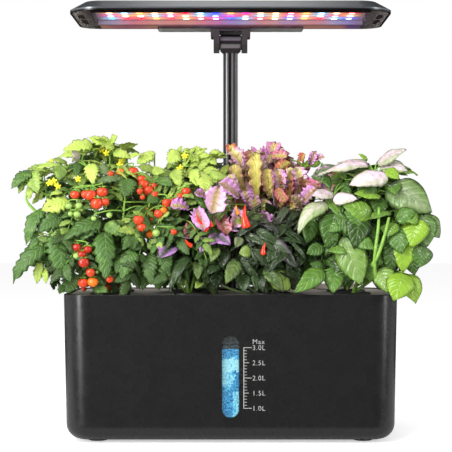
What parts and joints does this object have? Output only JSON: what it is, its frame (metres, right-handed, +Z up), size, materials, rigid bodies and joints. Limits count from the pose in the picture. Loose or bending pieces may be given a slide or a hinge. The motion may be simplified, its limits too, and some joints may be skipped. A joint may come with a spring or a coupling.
{
  "type": "countertop hydroponic garden",
  "caption": "Black rounded water tub with a level window and litre scale, a lift-out deck of planted pods, and a tilting grow lamp on a telescopic mast.",
  "frame": {"origin": "on the tabletop under the middle of the tub", "axes": "+Z up, -Y towards the front with the level window, +X to the viewer's right"},
  "size_m": [0.3554, 0.1561, 0.3715],
  "materials": {
    "tub_abs": "satin",
    "rubber": "matte",
    "window_acrylic": "polished",
    "gauge_water": "polished",
    "float_plastic": "satin",
    "gauge_plastic": "matte",
    "deck_abs": "satin",
    "basket_plastic": "matte",
    "grow_sponge": "matte",
    "tomato_plant": "satin",
    "chilli_plant": "satin",
    "lettuce_plant": "satin",
    "basil_plant": "satin",
    "column_abs": "satin",
    "panel_abs": "gloss",
    "key_plastic": "satin",
    "light_pipe": "polished",
    "circuit_board": "satin",
    "steel": "satin",
    "inlet_plastic": "satin",
    "mast_aluminium": "satin",
    "bush_plastic": "satin",
    "hinge_plastic": "satin",
    "lamp_aluminium": "satin",
    "lamp_plastic": "satin",
    "led_board": "satin",
    "pump_plastic": "satin",
    "filter_foam": "matte",
    "rotor_plastic": "satin",
    "lead_pvc": "satin",
    "led_chips": "gloss"
  },
  "bodies": {
    "tank": {"tub": "tub_abs", "rubber_feet": "rubber", "level_window": "window_acrylic", "window_gasket": "rubber", "gauge_well": "gauge_plastic", "gauge_water": "gauge_water", "dry_column": "column_abs", "control_panel": "panel_abs", "control_board": "circuit_board", "board_screws": "steel", "key_switches": "key_plastic", "light_pipes": "light_pipe", "power_inlet": "inlet_plastic", "inlet_seal": "rubber", "inlet_nut": "steel", "mast_sleeve": "mast_aluminium", "mast_bush": "bush_plastic", "suction_cups": "rubber", "pump_body": "pump_plastic", "riser_tube": "pump_plastic", "pump_grille": "pump_plastic", "filter_sponge": "filter_foam", "impeller_shaft": "steel", "lead_grommet": "rubber", "pump_lead": "lead_pvc"},
    "gauge_float": {"level_float": "float_plastic"},
    "light_button": {"light_key": "key_plastic"},
    "timer_button": {"timer_key": "key_plastic"},
    "pump_rotor": {"impeller": "rotor_plastic"},
    "mast": {"mast_tube": "mast_aluminium", "guide_shoe": "bush_plastic", "mast_head": "hinge_plastic"},
    "lamp": {"hinge_pin": "steel", "hinge_washers": "bush_plastic", "hinge_bracket": "hinge_plastic", "bracket_screws": "steel", "lamp_cover": "lamp_aluminium", "lamp_frame": "lamp_plastic", "led_board": "led_board", "led_chips": "led_chips", "driver_cover": "lamp_plastic", "driver_boards": "circuit_board"},
    "deck": {"grow_deck": "deck_abs", "flap_pin": "steel", "pod_baskets_front": "basket_plastic", "pod_baskets_back": "basket_plastic", "grow_sponges_front": "grow_sponge", "grow_sponges_back": "grow_sponge", "tomato_front_1": "tomato_plant", "tomato_front_2": "tomato_plant", "chilli_front_3": "chilli_plant", "basil_front_4": "basil_plant", "tomato_back_1": "tomato_plant", "tomato_back_2": "tomato_plant", "lettuce_back_3": "lettuce_plant", "basil_back_4": "basil_plant"},
    "port_flap": {"fill_flap": "deck_abs"}
  },
  "joints": [
    {"name": "deck_lift", "type": "slide", "parent": "tank", "child": "deck", "axis": [0, 0, 1], "range_m": [0, 0.07]},
    {"name": "flap_open", "type": "hinge", "parent": "deck", "child": "port_flap", "pos_m": [0.095, 0.064, 0.1257], "axis": [-1, 0, 0], "range_deg": [0, 95]},
    {"name": "mast_slide", "type": "slide", "parent": "tank", "child": "mast", "axis": [0, 0, 1], "range_m": [-0.07, 0.1]},
    {"name": "lamp_tilt", "type": "hinge", "parent": "mast", "child": "lamp", "pos_m": [0, 0.0475, 0.3473], "axis": [-1, 0, 0], "range_deg": [-8, 80]},
    {"name": "light_press", "type": "slide", "parent": "tank", "child": "light_button", "axis": [0, 0, -1], "range_m": [0, 0.0012], "stiffness_N_per_m": 600},
    {"name": "timer_press", "type": "slide", "parent": "tank", "child": "timer_button", "axis": [0, 0, -1], "range_m": [0, 0.0012], "stiffness_N_per_m": 600},
    {"name": "float_rise", "type": "slide", "parent": "tank", "child": "gauge_float", "axis": [0, 0, 1], "range_m": [-0.05, 0], "deforming": ["gauge_water"]},
    {"name": "impeller_spin", "type": "hinge", "parent": "tank", "child": "pump_rotor", "pos_m": [0.07, 0.04, 0.0224], "axis": [0, 1, 0], "continuous": true}
  ]
}
